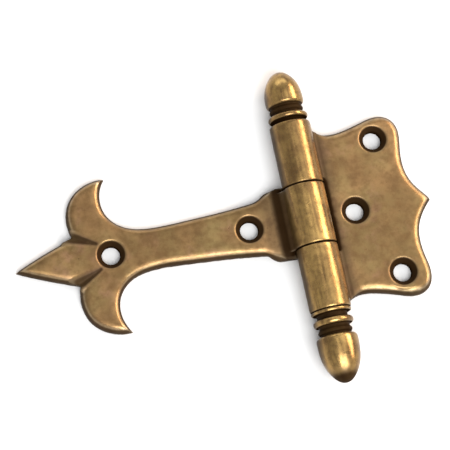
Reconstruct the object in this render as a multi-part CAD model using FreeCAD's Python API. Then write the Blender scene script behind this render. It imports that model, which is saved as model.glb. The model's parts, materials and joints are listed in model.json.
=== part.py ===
"""Fleur-de-lis strap hinge for a cabinet or furniture door, in cast antique brass.

Two leaves share one barrel. The strap leaf carries the middle knuckle and ends in a fleur-de-lis, the
scalloped plate leaf carries the two outer knuckles, and a steel pin runs through all three, with a turned
acorn finial pressed on each end.

Frame, in millimetres: the mounting plane is z = 0 and +Z points away from the door. +Y runs along the pin
and +X points from the pin to the plate leaf. The origin is the foot of the pin axis on the mounting plane,
at the middle of the barrel, where the strap leaf's flat back runs tangent into its knuckle.
"""
import FreeCAD, Part
import math
import os

from FreeCAD import Vector

# Leaves
LEAF_T = 3.0            # thickness of both leaves
EDGE_R = 1.0            # cast rounding of the front edges
TIP_X = -69.7           # point of the fleur-de-lis
CUSP_X = 30.3           # point of the plate leaf, 100 mm from the fleur's point

# Barrel
BARREL_R = 4.9
AXIS_Z = BARREL_R       # the leaf backs are tangent to the barrel
BARREL_HALF = 22.7      # half of the barrel's length, without finials
MIDDLE_HALF = 7.3       # half of the middle knuckle's length
SEAM = 0.12             # gap between neighbouring knuckles
KNUCKLE_EDGE = 0.12     # chamfer on the knuckle ends

# Pin and its fits
PIN_R = 2.25
RUNNING_GAP = 0.05      # radial clearance in the middle knuckle
PRESS_BITE = 0.01       # radial interference in the outer knuckles and finials
PIN_IN_FINIAL = 7.0     # length of pin inside each finial
END_PLAY = 0.2          # room between the pin's end and the bottom of its hole
PIN_EDGE = 0.3          # chamfer on the pin's ends

# Screw holes for 3.5 mm (No. 6) countersunk wood screws
HOLE_R = 2.15
SINK_R = 3.5            # rim of the 90 degree countersink
STRAP_HOLES = [(-47.1, 0.0), (-14.2, 0.0)]
PLATE_HOLES = [(11.4, 0.0), (19.3, 16.4), (19.3, -16.4)]

# Webs that join the leaves to their knuckles
STRAP_WEB_R = 3.2       # hollow between the strap and the middle knuckle
PLATE_WEB_R = 1.4       # hollow between the plate and the outer knuckles
SHOULDER_HALF = 8.7     # half width of the strap where it meets the barrel
SHOULDER_END = -3.4     # the shoulder's ears reach this far under the outer knuckles
EAR_GAP = 0.25          # gap between the ears and the outer knuckles
SLOT_X = 5.3            # the plate stops here beside the middle knuckle
SLOT_HALF = 9.0         # half length of that slot, which also clears the ears
CUT_OVER = 5.0          # how far cutting tools reach past the metal

# Finials: turned sections from the barrel outwards, as (length along the pin, radius), then the acorn
RING_R = 4.75           # rings, and the collar against the lower end of the barrel
NECK_R = 3.6            # bottom of the turned grooves
BEAD_R = 4.05           # small bead in the wide groove
RIM_ROUNDING = 0.33     # height of a ring's or bead's rounded rim, as a share of its length
UPPER_TURNING = [(1.0, NECK_R), (1.3, RING_R), (0.7, NECK_R), (1.1, BEAD_R), (0.5, NECK_R)]
LOWER_TURNING = [(0.9, RING_R), (1.3, NECK_R), (1.5, RING_R), (0.8, NECK_R), (1.1, BEAD_R), (0.5, NECK_R)]
UPPER_ACORN = (8.7, 4.55)       # length and greatest radius
LOWER_ACORN = (11.1, 4.85)
ACORN_SIDE = [(0.3, 0.99), (0.6, 0.86), (0.84, 0.57), (0.955, 0.31), (1, 0)]   # shares of length and radius

# Carved grooves between the fleur's spear and its petals
GROOVE_OUTER = (-57.2, 6.3)     # outer end, beyond the notch
GROOVE_INNER = (-50.0, 3.1)     # inner end, at the countersink's rim
GROOVE_OUTER_W = 3.2
GROOVE_OUTER_D = 1.3
GROOVE_INNER_W = 0.7
GROOVE_INNER_D = 0.35

# Half outlines of the leaves, y > 0. Each run is a smooth curve through its points, and runs meet in corners.
STRAP_RUNS = [
    [(TIP_X, 0.0), (-62.4, 3.25), (-55.2, 5.8)],                                    # spear
    [(-55.2, 5.8), (-56.0, 10.2), (-54.3, 15.0), (-50.2, 18.0), (-45.1, 18.7)],     # back of the petal
    [(-45.1, 18.7), (-47.1, 14.2), (-46.4, 9.8), (-43.2, 6.5), (-37.5, 5.05),       # inside of the petal
     (-30.0, 5.2), (-20.0, 5.8), (-10.8, 6.75)],                                    # and side of the strap
    [(-10.8, 6.75), (-10.1, 7.6), (-9.2, 8.3), (-7.4, SHOULDER_HALF)],              # shoulder
    [(-7.4, SHOULDER_HALF), (0.0, SHOULDER_HALF)],
]
PLATE_RUNS = [
    [(CUSP_X, 0.0), (27.8, 2.8), (26.0, 6.0), (25.4, 10.2), (25.9, 14.2), (26.35, 17.8),   # waist
     (25.1, 20.9), (21.9, 22.4), (18.0, 21.7), (13.5, 20.4), (8.6, 19.8), (4.3, 21.9)],    # lobe and neck
    [(4.3, 21.9), (0.0, 21.9)],
]


def cylinder_y(radius, y_low, y_high):
    """Solid cylinder on the pin axis."""
    return Part.makeCylinder(radius, y_high - y_low, Vector(0, y_low, AXIS_Z), Vector(0, 1, 0))


def curve_through(points):
    """One smooth edge through plane points: a line, an arc or a spline, by how many there are."""
    corners = [Vector(x, y, 0) for x, y in points]
    if len(corners) == 2:
        return Part.LineSegment(*corners).toShape()
    if len(corners) == 3:
        return Part.Arc(*corners).toShape()
    spline = Part.BSplineCurve()
    spline.interpolate(corners)
    return spline.toShape()


def leaf_blank(runs, height):
    """Prism on the mounting plane, bounded by the half outline and its mirror image in y = 0."""
    upper = [curve_through(run) for run in runs]
    lower = [curve_through([(x, -y) for x, y in reversed(run)]) for run in reversed(runs)]
    x_end, y_end = runs[-1][-1]
    closing = curve_through([(x_end, y_end), (x_end, -y_end)])
    return Part.Face(Part.Wire(upper + [closing] + lower)).extrude(Vector(0, 0, height))


def rounded_leaf(runs):
    """Leaf blank with rounded front edges, except at the end that goes under the barrel."""
    blank = leaf_blank(runs, LEAF_T)
    x_under = runs[-1][-1][0]
    front = [edge for edge in blank.Edges
             if edge.BoundBox.ZMin > LEAF_T - 0.01
             and abs(edge.BoundBox.XMin - x_under) + abs(edge.BoundBox.XMax - x_under) > 0.01]
    return blank.makeFillet(EDGE_R, front)


def countersunk_hole(x, y):
    """Cutting tool for one countersunk screw hole."""
    depth = SINK_R - HOLE_R
    through = Part.makeCylinder(HOLE_R, LEAF_T + 2 * CUT_OVER, Vector(x, y, -CUT_OVER))
    sink = Part.makeCone(HOLE_R, SINK_R + CUT_OVER, depth + CUT_OVER, Vector(x, y, LEAF_T - depth))
    return through.fuse(sink)


def knuckle(y_low, y_high):
    """One barrel section with lightly broken ends."""
    section = cylinder_y(BARREL_R, y_low, y_high)
    rims = [edge for edge in section.Edges if isinstance(edge.Curve, Part.Circle)]
    return section.makeChamfer(KNUCKLE_EDGE, rims)


def web(side, hollow_r, runs, y_low, y_high):
    """Metal between a leaf and its knuckle, hollow above and tangent to the leaf's front and the barrel.

    side is -1 for the strap's side of the pin and +1 for the plate's. The leaf's outline trims the ends.
    """
    centre_z = LEAF_T + hollow_r
    reach = BARREL_R + hollow_r
    centre_x = math.sqrt(reach ** 2 - (centre_z - AXIS_Z) ** 2)
    share = BARREL_R / reach
    touch = (centre_x * share, AXIS_Z + (centre_z - AXIS_Z) * share)
    lean = math.atan2(centre_z - AXIS_Z, centre_x)
    middle_turn = (math.pi + lean + 1.5 * math.pi) / 2
    middle = (centre_x + hollow_r * math.cos(middle_turn), centre_z + hollow_r * math.sin(middle_turn))

    def at(x, z):
        return Vector(side * x, y_low, z)

    section = Part.Wire([
        Part.LineSegment(at(0, 0), at(centre_x, 0)).toShape(),
        Part.LineSegment(at(centre_x, 0), at(centre_x, LEAF_T)).toShape(),
        Part.Arc(at(centre_x, LEAF_T), at(*middle), at(*touch)).toShape(),
        Part.LineSegment(at(*touch), at(0, AXIS_Z)).toShape(),
        Part.LineSegment(at(0, AXIS_Z), at(0, 0)).toShape(),
    ])
    fill = Part.Face(section).extrude(Vector(0, y_high - y_low, 0))
    return fill.common(leaf_blank(runs, touch[1]))


def v_groove(mirror):
    """Cutting tool for one carved groove: a V that narrows and rises towards the screw hole."""
    outer = Vector(GROOVE_OUTER[0], mirror * GROOVE_OUTER[1], LEAF_T)
    inner = Vector(GROOVE_INNER[0], mirror * GROOVE_INNER[1], LEAF_T)
    along = (inner - outer).normalize()
    across = Vector(-along.y, along.x, 0)
    sections = []
    for centre, width, depth in ((outer, GROOVE_OUTER_W, GROOVE_OUTER_D),
                                 (inner, GROOVE_INNER_W, GROOVE_INNER_D)):
        spread = width / 2 * (1 + 1 / depth)      # the same slopes, carried 1 mm above the face
        bottom = centre - Vector(0, 0, depth)
        left = centre + across * spread + Vector(0, 0, 1)
        right = centre - across * spread + Vector(0, 0, 1)
        sections.append(Part.makePolygon([bottom, left, right, bottom]))
    return Part.makeLoft(sections, True, True)


def strap_leaf():
    """Tapered strap with the fleur-de-lis and the middle knuckle."""
    leaf = rounded_leaf(STRAP_RUNS)
    leaf = leaf.fuse([web(-1, STRAP_WEB_R, STRAP_RUNS, -MIDDLE_HALF, MIDDLE_HALF),
                      knuckle(-MIDDLE_HALF, MIDDLE_HALF)])
    tools = [countersunk_hole(x, y) for x, y in STRAP_HOLES]
    tools += [v_groove(1), v_groove(-1)]
    for y_low in (MIDDLE_HALF, -MIDDLE_HALF - CUT_OVER):
        y_high = y_low + CUT_OVER
        tools.append(cylinder_y(BARREL_R + EAR_GAP, y_low, y_high))
        tools.append(Part.makeBox(CUT_OVER - SHOULDER_END, CUT_OVER, LEAF_T + 2 * CUT_OVER,
                                  Vector(SHOULDER_END, y_low, -CUT_OVER)))
    tools.append(cylinder_y(PIN_R + RUNNING_GAP, -MIDDLE_HALF - CUT_OVER, MIDDLE_HALF + CUT_OVER))
    return leaf.cut(tools).removeSplitter()


def plate_leaf():
    """Scalloped plate with the two outer knuckles and the slot for the middle one."""
    leaf = rounded_leaf(PLATE_RUNS)
    knuckle_low = MIDDLE_HALF + SEAM
    parts = [
        knuckle(knuckle_low, BARREL_HALF),
        knuckle(-BARREL_HALF, -knuckle_low),
        web(1, PLATE_WEB_R, PLATE_RUNS, SLOT_HALF, BARREL_HALF),
        web(1, PLATE_WEB_R, PLATE_RUNS, -BARREL_HALF, -SLOT_HALF),
    ]
    slot = Part.makeBox(SLOT_X + CUT_OVER, 2 * SLOT_HALF, LEAF_T + 2 * CUT_OVER,
                        Vector(-CUT_OVER, -SLOT_HALF, -CUT_OVER))
    leaf = leaf.cut(slot).fuse(parts)
    tools = [countersunk_hole(x, y) for x, y in PLATE_HOLES]
    tools.append(cylinder_y(PIN_R - PRESS_BITE, -BARREL_HALF - CUT_OVER, BARREL_HALF + CUT_OVER))
    return leaf.cut(tools).removeSplitter()


def hinge_pin():
    """Plain steel pin with broken ends."""
    half = BARREL_HALF + PIN_IN_FINIAL
    pin = cylinder_y(PIN_R, -half, half)
    rims = [edge for edge in pin.Edges if isinstance(edge.Curve, Part.Circle)]
    return pin.makeChamfer(PIN_EDGE, rims)


def finial(turning, acorn, direction):
    """Turned finial: grooves, rings and a bead, then an acorn. direction is +1 up, -1 down."""
    def at(along, radius):
        return Vector(0, direction * (BARREL_HALF + along), AXIS_Z + radius)

    def line(start, end):
        return Part.LineSegment(at(*start), at(*end)).toShape()

    def arc(start, middle, end):
        return Part.Arc(at(*start), at(*middle), at(*end)).toShape()

    path = [line((0, 0), (0, NECK_R))]
    start = 0
    for length, radius in turning:
        end = start + length
        if radius == NECK_R:
            path.append(line((start, NECK_R), (end, NECK_R)))
        else:
            rim = radius - RIM_ROUNDING * length
            path += [line((start, NECK_R), (start, rim)),
                     arc((start, rim), (start + length / 2, radius), (end, rim)),
                     line((end, rim), (end, NECK_R))]
        start = end

    length, radius = acorn
    shoulder = (start + 0.09 * length, radius)
    side = Part.BSplineCurve()
    side.interpolate([at(*shoulder)] + [at(start + along * length, radius * width)
                                        for along, width in ACORN_SIDE])
    path += [arc((start, NECK_R), (start + 0.02 * length, radius - 0.35), shoulder),
             side.toShape(),
             line((start + length, 0), (0, 0))]
    body = Part.Face(Part.Wire(path)).revolve(Vector(0, 0, AXIS_Z), Vector(0, 1, 0), 360)
    ends = (direction * (BARREL_HALF - CUT_OVER), direction * (BARREL_HALF + PIN_IN_FINIAL + END_PLAY))
    return body.cut(cylinder_y(PIN_R - PRESS_BITE, min(ends), max(ends)))


NODES = {
    "strap_leaf": strap_leaf,
    "plate_leaf": plate_leaf,
    "hinge_pin": hinge_pin,
    "upper_finial": lambda: finial(UPPER_TURNING, UPPER_ACORN, 1),
    "lower_finial": lambda: finial(LOWER_TURNING, LOWER_ACORN, -1),
}

os.makedirs("parts", exist_ok=True)
for name, build in NODES.items():
    shape = build()
    if shape.ShapeType == "Compound" and len(shape.Solids) == 1:
        shape = shape.Solids[0]
    box = shape.BoundBox
    print(f"{name}: valid {shape.isValid()}, {len(shape.Solids)} solid, {shape.Volume:.1f} mm3, "
          f"x {box.XMin:.2f}..{box.XMax:.2f}, y {box.YMin:.2f}..{box.YMax:.2f}, "
          f"z {box.ZMin:.2f}..{box.ZMax:.2f}")
    shape.exportStep(f"parts/{name}.step")
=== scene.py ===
"""Looks for the fleur-de-lis strap hinge: cast antique brass lying on a pale studio floor."""
import json
import math

import bmesh
import bpy
import numpy as np
from mathutils import Matrix, Vector, noise
from mathutils.bvhtree import BVHTree


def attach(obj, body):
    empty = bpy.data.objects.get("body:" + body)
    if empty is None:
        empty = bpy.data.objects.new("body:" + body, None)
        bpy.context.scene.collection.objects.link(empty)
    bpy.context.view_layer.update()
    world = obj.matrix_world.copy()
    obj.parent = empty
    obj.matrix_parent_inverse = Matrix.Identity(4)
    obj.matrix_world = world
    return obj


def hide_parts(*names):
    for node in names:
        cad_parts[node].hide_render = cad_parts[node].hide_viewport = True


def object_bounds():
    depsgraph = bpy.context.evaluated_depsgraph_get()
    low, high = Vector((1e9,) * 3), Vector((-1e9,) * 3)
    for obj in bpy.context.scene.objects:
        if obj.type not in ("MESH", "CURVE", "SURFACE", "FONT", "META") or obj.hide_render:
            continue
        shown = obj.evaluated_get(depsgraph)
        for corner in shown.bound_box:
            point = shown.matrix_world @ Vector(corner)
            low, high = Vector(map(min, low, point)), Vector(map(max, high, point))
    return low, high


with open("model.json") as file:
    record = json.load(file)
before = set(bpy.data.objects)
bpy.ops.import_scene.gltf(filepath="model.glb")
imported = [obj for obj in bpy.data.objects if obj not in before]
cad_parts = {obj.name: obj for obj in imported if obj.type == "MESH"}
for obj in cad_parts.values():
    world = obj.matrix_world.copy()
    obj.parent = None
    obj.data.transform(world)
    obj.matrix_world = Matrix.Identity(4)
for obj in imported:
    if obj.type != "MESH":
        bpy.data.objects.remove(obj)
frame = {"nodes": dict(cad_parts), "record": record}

MM = 0.001
CAD_LOW, CAD_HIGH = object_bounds()

# Cast pieces: voxel size in millimetres, and the body that each rides on
CAST_PIECES = {
    "strap_leaf": (0.20, "strap"),
    "plate_leaf": (0.21, "plate"),
    "upper_finial": (0.12, "plate"),
    "lower_finial": (0.12, "plate"),
}
WELD_MM = 1e-4                # corners closer than this are one
SOFTENING_ROUNDS = 9          # smoothing after the remesh, which rounds every sharp edge a little
EDGE_ROUNDS = 65              # reach of the edge mask and of the rounding, in smoothing rounds
BROAD_ROUNDS = 188            # reach of the draft and of the pillow
HIDDEN_ROUNDS = 10            # evens out the grain of the rays
RAYS = 12                     # rays per vertex that look for metal hiding the sky
RAY_REACH_MM = 6.0
RAY_LIFT_MM = 0.2             # the rays start this far above the surface
GOLDEN_TURN = 2.399963        # golden angle, in radians

# The hinge's own measures, in millimetres
AXIS_MM = Vector(frame["record"]["behaviour"]["joints"][0]["pos_m"]) / MM
LEAF_MM = 3.0                 # thickness of the leaves
SLOT_HALF_MM = 9.0            # half of the length of the slot beside the middle knuckle
ACORN_START_MM = {"upper_finial": 27.3, "lower_finial": 28.8}    # from the middle of the barrel
# the painted shade in the turned grooves of the finials ends this far along an acorn
TURNED_PAST_MM = 0.1          # the dark of the turned grooves ends this far along an acorn
# painted dark reflection on the lower acorn's tip, from this far along it
DARK_TIP_MM = 5.0             # the dark tip starts this far along the lower acorn
GROOVE_MM = ((-57.2, 6.3), (-50.0, 3.1))    # ends of the carved groove at y > 0
GROOVE_WIDTH_MM = (1.7, 0.5)                # its half widths there
GROOVE_SOFT_MM = 0.5          # its sides fade over this width

# Where each part of the masks starts and where it is full: the painted shade on the walls, in the
# hollows, holes, grooves and gaps and on the lower acorn's tip, the gold of the barrel and the wear on
# the
# edges. Distances in millimetres: from the pin axis, from the nearest hole's middle, along x, or above
# the mounting plane.
BARREL_AXIS = (5.2, 4.9)
VALLEY_AXIS, VALLEY_X = (9.8, 7.2), (-3.6, -4.8)
VALLEY_FADE = (6.2, 5.4)      # the valley is a little lighter this near the barrel
SHOULDER_AXIS = (12.5, 9.0)
PLATE_SIDE_X = (4.2, 5.0)
FOOT_AXIS = (7.6, 6.6)
SLOT_AXIS = (6.9, 6.1)
TIP_AXIS = (4.3, 2.5)
TURNED_AXIS = (4.55, 4.15)
HOLE_RIM = (3.5, 3.15)
ABOVE_BACK = (0.3, 1.2)
EDGE_HEIGHT = (0.08, 0.36)    # how far an edge stands out of its smoothed surroundings
HIDDEN_SHARE = (0.06, 0.36)   # share of the rays that meet metal
# painted shade on the side walls: full where the normal's z is below the first range and gone above it;
# the second range finds the undersides, which are spared part of it
WALL_SHADE_SLOPE = (0.42, 0.80)    # z of the surface normal
UNDERSIDE_SLOPE = (-0.60, -0.95)

# How strong each part of the painted shade is, and how much of the painted wall shade the undersides and
# the barrel are spared
VALLEY_DARK, VALLEY_LIGHTER = 0.98, 0.12
SHOULDER_DARK = 0.40
GROOVE_DARK = 0.88
FOOT_DARK = 0.75
SLOT_DARK = 0.98
HOLE_DARK = 0.97
TURNED_DARK = 0.97
TIP_DARK = 0.96
UNDERSIDE_SHADE_SPARED = 0.35
BARREL_SHADE_SPARED = 0.85

# Casting shape of the leaves: what stays clear of the holes and of the barrel is softened
FREE_HOLE, FREE_AXIS = (3.4, 5.0), (6.5, 9.0)
DRAFT = 1.90                  # how far the top of a wall is drawn in, as a share of the broad smoothing
PILLOW = 0.75                 # the same for the height of the faces near their edges
WAVE_MM = 0.035               # unevenness of the cast surface
WAVE_LENGTH_MM = 5.0


# ---------------------------------------------------------------- meshes

def neighbour_mean(values, edges, count):
    """Mean of each vertex's neighbours, for an array of one row per vertex."""
    total = np.zeros_like(values)
    for axis in range(values.shape[1]):
        column = values[:, axis]
        total[:, axis] = (np.bincount(edges[:, 0], column[edges[:, 1]], len(values))
                          + np.bincount(edges[:, 1], column[edges[:, 0]], len(values)))
    return total / count[:, None]


def smoothed(values, edges, count, rounds, pull=0.5):
    """values after that many rounds of moving part of the way to the neighbours' mean."""
    for _ in range(rounds):
        values = values + pull * (neighbour_mean(values, edges, count) - values)
    return values


def soft_step(low, high, value):
    """0 below low, 1 above high, smooth between. Works downwards too, if low is above high."""
    share = np.clip((value - low) / (high - low), 0, 1)
    return share * share * (3 - 2 * share)


def vertex_array(mesh, name="co"):
    """One row per vertex: places, or normals."""
    values = np.empty(len(mesh.vertices) * 3)
    mesh.vertices.foreach_get(name, values)
    return values.reshape(-1, 3)


def set_mask(mesh, name, values):
    """Stores one number per vertex for the materials to read."""
    layer = mesh.attributes.new(name, "FLOAT", "POINT")
    layer.data.foreach_set("value", np.ascontiguousarray(values, dtype=np.float32))


def screw_holes():
    """Places of all the screw holes, in millimetres, from the record's mounts."""
    holes = []
    for mount in frame["record"]["mounts"]:
        x, y, _ = (value / MM for value in mount["pos_m"])
        half_x = mount["dims"].get("spacing_x_mm", 0) / 2
        half_y = mount["dims"].get("spacing_y_mm", 0) / 2
        if mount["kind"] in ("bolt_pattern", "bore"):
            holes += [(x - half_x, y - half_y), (x + half_x, y + half_y)]
    return holes


def groove_mask(places):
    """1 inside the two carved grooves beside the fleur's spear, 0 away from them."""
    (x_out, y_out), (x_in, y_in) = GROOVE_MM
    length = math.hypot(x_in - x_out, y_in - y_out)
    along_x, along_y = (x_in - x_out) / length, (y_in - y_out) / length
    x, y = places[:, 0] - x_out, np.abs(places[:, 1]) - y_out
    along = np.clip((x * along_x + y * along_y) / length, 0, 1)
    across = np.hypot(x - along * length * along_x, y - along * length * along_y)
    width = GROOVE_WIDTH_MM[0] + (GROOVE_WIDTH_MM[1] - GROOVE_WIDTH_MM[0]) * along
    return np.clip((width - across) / GROOVE_SOFT_MM + 0.5, 0, 1)


def whole_hinge():
    """Search tree over every CAD node at rest, in millimetres."""
    corners, faces = [], []
    for obj in frame["nodes"].values():
        first = len(corners)
        corners += [obj.matrix_world @ vertex.co / MM for vertex in obj.data.vertices]
        faces += [[first + index for index in polygon.vertices] for polygon in obj.data.polygons]
    return BVHTree.FromPolygons(corners, faces)


def hidden_sky(places, normals, tree):
    """Share of each vertex's rays that meet metal, 0 on an open face and near 1 deep in a hole."""
    helper = np.where(np.abs(normals[:, 2:3]) < 0.9, [[0.0, 0.0, 1.0]], [[1.0, 0.0, 0.0]])
    side = np.cross(normals, helper)
    side /= np.linalg.norm(side, axis=1)[:, None]
    other = np.cross(normals, side)
    starts = (places + normals * RAY_LIFT_MM).tolist()
    hits = np.zeros(len(places))
    for ray in range(RAYS):
        share = (ray + 0.5) / RAYS
        turn = (np.arange(len(places)) + ray) * GOLDEN_TURN
        sideways = side * np.cos(turn)[:, None] + other * np.sin(turn)[:, None]
        ways = (normals * math.sqrt(1 - share) + sideways * math.sqrt(share)).tolist()
        hits += [tree.ray_cast(start, way, RAY_REACH_MM)[3] is not None
                 for start, way in zip(starts, ways)]
    return hits / RAYS


def remeshed(node, voxel_mm):
    """Evenly meshed copy of a CAD node, in millimetres, as a new object."""
    mesh = frame["nodes"][node].data.copy()
    mesh.transform(Matrix.Scale(1 / MM, 4))
    work = bmesh.new()
    work.from_mesh(mesh)
    bmesh.ops.remove_doubles(work, verts=work.verts, dist=WELD_MM)
    work.to_mesh(mesh)
    work.free()
    rough = bpy.data.objects.new("rough_" + node, mesh)
    bpy.context.collection.objects.link(rough)
    remesh = rough.modifiers.new("even", "REMESH")
    remesh.mode = "VOXEL"
    remesh.voxel_size = voxel_mm
    remesh.use_smooth_shade = True
    even = bpy.data.meshes.new_from_object(rough.evaluated_get(bpy.context.evaluated_depsgraph_get()))
    bpy.data.objects.remove(rough)
    piece = bpy.data.objects.new("cast_" + node, even)
    bpy.context.collection.objects.link(piece)
    return piece


def shade_and_wear_masks(node, places, normals, height, hidden, to_hole):
    """The masks that the brass material reads, one number per vertex each."""
    x, y, z = places.T
    from_axis = np.hypot(x - AXIS_MM.x, z - AXIS_MM.z)
    barrel = soft_step(*BARREL_AXIS, from_axis)
    above = soft_step(*ABOVE_BACK, z)
    strap_side = soft_step(*VALLEY_X, x)
    plate_side = soft_step(*PLATE_SIDE_X, x) * (1 - barrel)
    # the slot beside the middle knuckle gets painted shade and no edge wear
    slot = soft_step(*SLOT_AXIS, from_axis) * plate_side * (np.abs(y) < SLOT_HALF_MM)
    # painted dark reflection on the lower acorn's tip
    tip = soft_step(*TIP_AXIS, from_axis) * (y < -ACORN_START_MM["lower_finial"] - DARK_TIP_MM)
    turned_end = ACORN_START_MM.get(node, 0) + TURNED_PAST_MM
    turned = soft_step(*TURNED_AXIS, from_axis) * (np.abs(y) < turned_end)
    # painted shade in the valley between the strap and the barrel, and on the strap's shoulder
    valley = soft_step(*VALLEY_AXIS, from_axis) * strap_side
    # painted shade: where other metal hides the sky, in the valley and on the shoulder, in the carved
    # grooves, at the plate's foot by the barrel, in the slot, the screw holes and the turned grooves,
    # and on the lower acorn's tip
    shade_mask = np.maximum.reduce([
        soft_step(*HIDDEN_SHARE, hidden),
        valley * (VALLEY_DARK - VALLEY_LIGHTER * soft_step(*VALLEY_FADE, from_axis)) * above,
        SHOULDER_DARK * soft_step(*SHOULDER_AXIS, from_axis) * strap_side * above,
        GROOVE_DARK * groove_mask(places) * above,
        FOOT_DARK * soft_step(*FOOT_AXIS, from_axis) * plate_side,
        SLOT_DARK * slot,
        HOLE_DARK * soft_step(*HOLE_RIM, to_hole),
        TURNED_DARK * turned,
        TIP_DARK * tip])
    # painted shade on the side walls: surfaces that face up are spared it, and the undersides and the
    # barrel are spared part of it
    wall_shade_spared = soft_step(*WALL_SHADE_SLOPE, normals[:, 2])
    back = UNDERSIDE_SHADE_SPARED * soft_step(*UNDERSIDE_SLOPE, normals[:, 2])
    return {
        "edge": soft_step(*EDGE_HEIGHT, height) * (1 - barrel) * (1 - slot),
        "shade_mask": shade_mask,
        "wall_shade_spared": np.maximum.reduce([wall_shade_spared, back, BARREL_SHADE_SPARED * barrel]),
        "barrel": barrel,
    }


def leaf_softening(places, rounded, drawn_in, to_hole):
    """Moves that round a leaf's edges, draw its walls in and pillow its faces. The back stays flat."""
    from_axis = np.hypot(places[:, 0] - AXIS_MM.x, places[:, 2] - AXIS_MM.z)
    free = soft_step(*FREE_HOLE, to_hole) * soft_step(*FREE_AXIS, from_axis) * (1 - groove_mask(places))
    raised = free * np.clip(places[:, 2] / LEAF_MM, 0, 1)
    pull = rounded * (1 - PILLOW) + drawn_in * np.array([DRAFT, DRAFT, PILLOW])
    return pull * raised[:, None]


def cast_piece(node, voxel_mm, body, tree):
    """Replaces a CAD node by a cast-looking copy that carries the masks for the painted shade, the
    barrel's gold and the edge wear.
    """
    piece = remeshed(node, voxel_mm)
    mesh = piece.data
    edges = np.empty(len(mesh.edges) * 2, dtype=np.int64)
    mesh.edges.foreach_get("vertices", edges)
    edges = edges.reshape(-1, 2)
    count = np.bincount(edges.ravel(), minlength=len(mesh.vertices)).astype(float)

    places = smoothed(vertex_array(mesh), edges, count, SOFTENING_ROUNDS)
    mesh.vertices.foreach_set("co", places.ravel())
    mesh.update()
    normals = vertex_array(mesh, "normal")

    wave = np.array([noise.noise(Vector(p) / WAVE_LENGTH_MM) for p in places])
    rounded = smoothed(places, edges, count, EDGE_ROUNDS) - places
    drawn_in = smoothed(places, edges, count, BROAD_ROUNDS) - places
    height = -(rounded * normals).sum(axis=1)
    hidden = smoothed(hidden_sky(places, normals, tree)[:, None], edges, count, HIDDEN_ROUNDS)[:, 0]
    to_hole = np.min([np.hypot(places[:, 0] - x, places[:, 1] - y) for x, y in screw_holes()], axis=0)
    for name, values in shade_and_wear_masks(node, places, normals, height, hidden, to_hole).items():
        set_mask(mesh, name, values)

    if node.endswith("leaf"):
        places = places + leaf_softening(places, rounded, drawn_in, to_hole)
    places = places + normals * (wave * WAVE_MM)[:, None]
    mesh.vertices.foreach_set("co", (places * MM).ravel())
    mesh.update()
    for polygon in mesh.polygons:
        polygon.use_smooth = True
    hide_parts(node)
    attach(piece, body)
    return piece


# ---------------------------------------------------------------- materials

class Nodes:
    """Short calls for building one material's node tree."""

    def __init__(self, name):
        self.material = bpy.data.materials.new(name)
        self.material.use_nodes = True
        self.tree = self.material.node_tree
        self.shader = self.tree.nodes["Principled BSDF"]
        coords = self.tree.nodes.new("ShaderNodeTexCoord")
        scale = self.tree.nodes.new("ShaderNodeMapping")
        scale.inputs["Scale"].default_value = (1 / MM, 1 / MM, 1 / MM)
        self.tree.links.new(coords.outputs["Object"], scale.inputs["Vector"])
        self.place = scale.outputs["Vector"]     # millimetres, fixed to the piece

    def put(self, socket, value):
        """Links a socket or sets a plain value on an input."""
        if isinstance(value, bpy.types.NodeSocket):
            self.tree.links.new(value, socket)
        else:
            socket.default_value = value

    def mask(self, name):
        node = self.tree.nodes.new("ShaderNodeAttribute")
        node.attribute_name = name
        return node.outputs["Fac"]

    def math(self, operation, first, second=0.0, clamp=False):
        node = self.tree.nodes.new("ShaderNodeMath")
        node.operation = operation
        node.use_clamp = clamp
        self.put(node.inputs[0], first)
        self.put(node.inputs[1], second)
        return node.outputs[0]

    def noise(self, size_mm, detail=3.0, roughness=0.55, stretch=None):
        """Noise whose blotches are about size_mm across."""
        place = self.place
        if stretch:
            mapping = self.tree.nodes.new("ShaderNodeMapping")
            mapping.inputs["Scale"].default_value = stretch
            self.put(mapping.inputs["Vector"], place)
            place = mapping.outputs["Vector"]
        node = self.tree.nodes.new("ShaderNodeTexNoise")
        self.put(node.inputs["Vector"], place)
        node.inputs["Scale"].default_value = 1 / size_mm
        node.inputs["Detail"].default_value = detail
        node.inputs["Roughness"].default_value = roughness
        return node.outputs["Fac"]

    def ramp(self, value, low, high, out_low=0.0, out_high=1.0):
        node = self.tree.nodes.new("ShaderNodeMapRange")
        node.interpolation_type = "SMOOTHSTEP"
        self.put(node.inputs["Value"], value)
        node.inputs["From Min"].default_value = low
        node.inputs["From Max"].default_value = high
        node.inputs["To Min"].default_value = out_low
        node.inputs["To Max"].default_value = out_high
        return node.outputs["Result"]

    def mix(self, share, first, second):
        node = self.tree.nodes.new("ShaderNodeMix")
        node.data_type = "RGBA"
        self.put(node.inputs["Factor"], share)
        self.put(node.inputs[6], first)
        self.put(node.inputs[7], second)
        return node.outputs[2]

    def bump(self, height, strength, distance_mm, normal=None):
        node = self.tree.nodes.new("ShaderNodeBump")
        node.inputs["Strength"].default_value = strength
        node.inputs["Distance"].default_value = distance_mm * MM
        self.put(node.inputs["Height"], height)
        if normal is not None:
            self.put(node.inputs["Normal"], normal)
        return node.outputs["Normal"]


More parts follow.
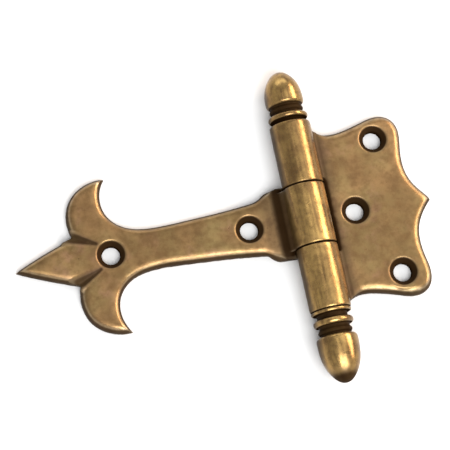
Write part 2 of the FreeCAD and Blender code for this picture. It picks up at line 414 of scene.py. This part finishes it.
def antique_brass():
    """Cast brass, darkened all over and rubbed back on the faces, brightest on the edges, with painted
    shade on its walls, in its hollows and gaps and on the lower acorn's tip, and painted reflection
    streaks on the barrel.
    """
    n = Nodes("antique_brass")
    brown = (0.265, 0.156, 0.066, 1)
    olive = (0.230, 0.160, 0.064, 1)
    rosy = (0.280, 0.158, 0.088, 1)
    umber = (0.120, 0.066, 0.026, 1)
    gold = (0.440, 0.278, 0.090, 1)
    bright = (0.74, 0.60, 0.40, 1)
    # near-black for the painted shade and for the real pits
    shade_and_pit_black = (0.013, 0.006, 0.002, 1)

    # painted reflection: noise stretched along the barrel for its streaks
    reflection_streaks = n.noise(1.1, 4.0, 0.6, stretch=(1.0, 0.10, 1.0))
    colour = n.mix(n.ramp(n.noise(9.0, 3.0), 0.35, 0.68), brown, olive)
    colour = n.mix(n.ramp(n.noise(5.0, 3.0), 0.50, 0.80), colour, rosy)
    colour = n.mix(n.math("MULTIPLY", n.mask("barrel"), 0.75), colour, gold)
    colour = n.mix(n.ramp(n.noise(14.0, 2.0), 0.38, 0.66, 0.0, 0.45), colour, umber)
    colour = n.mix(n.ramp(n.noise(3.5, 4.0, 0.6), 0.42, 0.72, 0.0, 0.60), colour, umber)
    colour = n.mix(n.ramp(n.noise(1.3, 3.0, 0.6), 0.40, 0.70, 0.0, 0.45), colour, umber)
    # painted reflection streaks: dark umber stripes along the barrel
    marks = n.math("MULTIPLY", n.mask("barrel"), n.ramp(reflection_streaks, 0.45, 0.70, 0.0, 0.7))
    colour = n.mix(marks, colour, umber)
    pits = n.ramp(n.noise(0.8, 2.0, 0.5), 0.73, 0.78)
    rub = n.math("MULTIPLY", n.mask("edge"), n.ramp(n.noise(1.2, 3.0), 0.30, 0.60, 0.20, 0.50))
    colour = n.mix(rub, colour, bright)
    # painted shade on the side walls, darkest where the normal lies flat
    wall = n.math("SUBTRACT", 1.0, n.mask("wall_shade_spared"), clamp=True)
    # painted shade from the hollows and the walls, with the real pits, less on the worn edges
    shade_and_pits = n.math("MAXIMUM", n.mask("shade_mask"), n.math("MULTIPLY", wall, 0.90))
    shade_and_pits = n.math("MAXIMUM", shade_and_pits, n.math("MULTIPLY", pits, 0.8))
    shade_and_pits = n.math("MULTIPLY", shade_and_pits, n.math("SUBTRACT", 1.0, n.math("MULTIPLY", rub, 0.6)))
    colour = n.mix(shade_and_pits, colour, shade_and_pit_black)
    n.put(n.shader.inputs["Base Color"], colour)
    # the painted shade and the pits also take away the metal's shine
    clean = n.math("SUBTRACT", 1.0, shade_and_pits, clamp=True)
    n.put(n.shader.inputs["Metallic"], clean)
    n.put(n.shader.inputs["Specular IOR Level"], n.math("MULTIPLY", clean, 0.4))
    coat = n.ramp(n.mask("edge"), 0.2, 0.8, 0.12, 0.90)
    n.put(n.shader.inputs["Coat Weight"], n.math("MULTIPLY", clean, coat))
    n.shader.inputs["Coat Roughness"].default_value = 0.25
    rough = n.ramp(n.noise(1.5, 4.0, 0.6), 0.3, 0.7, 0.32, 0.42)
    rough = n.math("ADD", rough, n.math("MULTIPLY", shade_and_pits, 0.18))
    rough = n.math("SUBTRACT", rough, n.math("MULTIPLY", n.mask("barrel"), 0.10))
    n.put(n.shader.inputs["Roughness"], rough)
    normal = n.bump(n.noise(0.5, 4.0, 0.6), 0.25, 0.05)
    normal = n.bump(n.noise(2.5, 2.0, 0.5), 0.5, 0.10, normal)
    normal = n.bump(n.math("SUBTRACT", 1.0, pits), 0.5, 0.08, normal)
    n.put(n.shader.inputs["Normal"], normal)
    return n.material


def pin_steel():
    """Drawn steel, dull, with fine marks round the pin."""
    n = Nodes("pin_steel")
    marks = n.noise(0.4, 3.0, 0.6, stretch=(0.3, 3.0, 0.3))
    dull, clean = (0.30, 0.28, 0.26, 1), (0.55, 0.53, 0.50, 1)
    n.put(n.shader.inputs["Base Color"], n.mix(marks, dull, clean))
    n.shader.inputs["Metallic"].default_value = 1.0
    n.put(n.shader.inputs["Roughness"], n.ramp(marks, 0.3, 0.7, 0.30, 0.50))
    n.put(n.shader.inputs["Normal"], n.bump(marks, 0.3, 0.03))
    return n.material


# ---------------------------------------------------------------- studio

CAMERA_PLACE = Vector((-68.2, -89.8, 384.2)) * MM       # from the foot of the pin axis
CAMERA_RIGHT = Vector((0.9833, -0.1817, 0.0))           # the picture's right-hand direction
CAMERA_LENS = 135.4
AIM_SHIFT = 4.0 * MM          # the camera looks this far past the middle of the hinge, along y
AIM_HEIGHT = 3.0 * MM
FLOOR_SIZE = 3.0
FLOOR_GREY = 0.62
SKY_STRENGTH = 0.75


def look_at(obj, target, right_hint):
    """Turns obj's -Z to the target, with its X as near right_hint as that allows."""
    back = (obj.location - target).normalized()
    up = back.cross(right_hint).normalized()
    right = up.cross(back).normalized()
    obj.rotation_euler = Matrix((right, up, back)).transposed().to_euler()


def camera():
    middle = (CAD_LOW + CAD_HIGH) / 2
    data = bpy.data.cameras.new("camera")
    data.lens = CAMERA_LENS
    data.clip_start = 0.01
    obj = bpy.data.objects.new("camera", data)
    bpy.context.collection.objects.link(obj)
    obj.location = CAMERA_PLACE
    look_at(obj, Vector((middle.x, middle.y + AIM_SHIFT, AIM_HEIGHT)), CAMERA_RIGHT)
    bpy.context.scene.camera = obj


def floor():
    mesh = bpy.data.meshes.new("floor")
    half = FLOOR_SIZE / 2
    corners = [(-half, -half, 0), (half, -half, 0), (half, half, 0), (-half, half, 0)]
    mesh.from_pydata(corners, [], [(0, 1, 2, 3)])
    obj = bpy.data.objects.new("floor", mesh)
    bpy.context.collection.objects.link(obj)
    material = bpy.data.materials.new("floor")
    material.use_nodes = True
    shader = material.node_tree.nodes["Principled BSDF"]
    shader.inputs["Base Color"].default_value = (FLOOR_GREY, FLOOR_GREY, FLOOR_GREY, 1)
    shader.inputs["Roughness"].default_value = 0.9
    shader.inputs["Specular IOR Level"].default_value = 0.0
    mesh.materials.append(material)
    obj.location.z = min(0.0, CAD_LOW.z)


def softbox(name, azimuth, elevation, size, radiance, distance=0.9, tint=(1, 1, 1)):
    """Soft rectangular light. Azimuth is counted from +X towards +Y, in degrees."""
    a, e = math.radians(azimuth), math.radians(elevation)
    data = bpy.data.lights.new(name, "AREA")
    data.shape = "RECTANGLE"
    data.size, data.size_y = size
    data.energy = math.pi * size[0] * size[1] * radiance
    data.color = tint
    obj = bpy.data.objects.new(name, data)
    bpy.context.collection.objects.link(obj)
    obj.location = Vector((math.cos(a) * math.cos(e), math.sin(a) * math.cos(e), math.sin(e))) * distance
    look_at(obj, Vector((0, 0, 0)), Vector((-math.sin(a), math.cos(a), 0)))


def studio():
    world = bpy.data.worlds.new("studio")
    world.use_nodes = True
    world.node_tree.nodes["Background"].inputs["Color"].default_value = (1, 1, 1, 1)
    world.node_tree.nodes["Background"].inputs["Strength"].default_value = SKY_STRENGTH
    bpy.context.scene.world = world
    bpy.context.scene.view_settings.view_transform = "Standard"
    softbox("front_box", -85, 52, (0.6, 0.66), 9.0)
    softbox("right_box", 12, 30, (0.9, 0.30), 13.0, tint=(1.0, 0.80, 0.64))
    softbox("top_box", 35, 62, (0.5, 0.5), 1.2)
    softbox("strip_box", 180, 80, (0.9, 0.10), 1.8)
    softbox("back_box", 90, 25, (0.9, 0.35), 2.0)


# ---------------------------------------------------------------- the object

brass = antique_brass()
hinge_tree = whole_hinge()
for node, (voxel_mm, body) in CAST_PIECES.items():
    piece = cast_piece(node, voxel_mm, body, hinge_tree)
    piece.data.materials.clear()
    piece.data.materials.append(brass)

pin = frame["nodes"]["hinge_pin"]
for slot in pin.material_slots:
    slot.material = pin_steel()

floor()
studio()
camera()
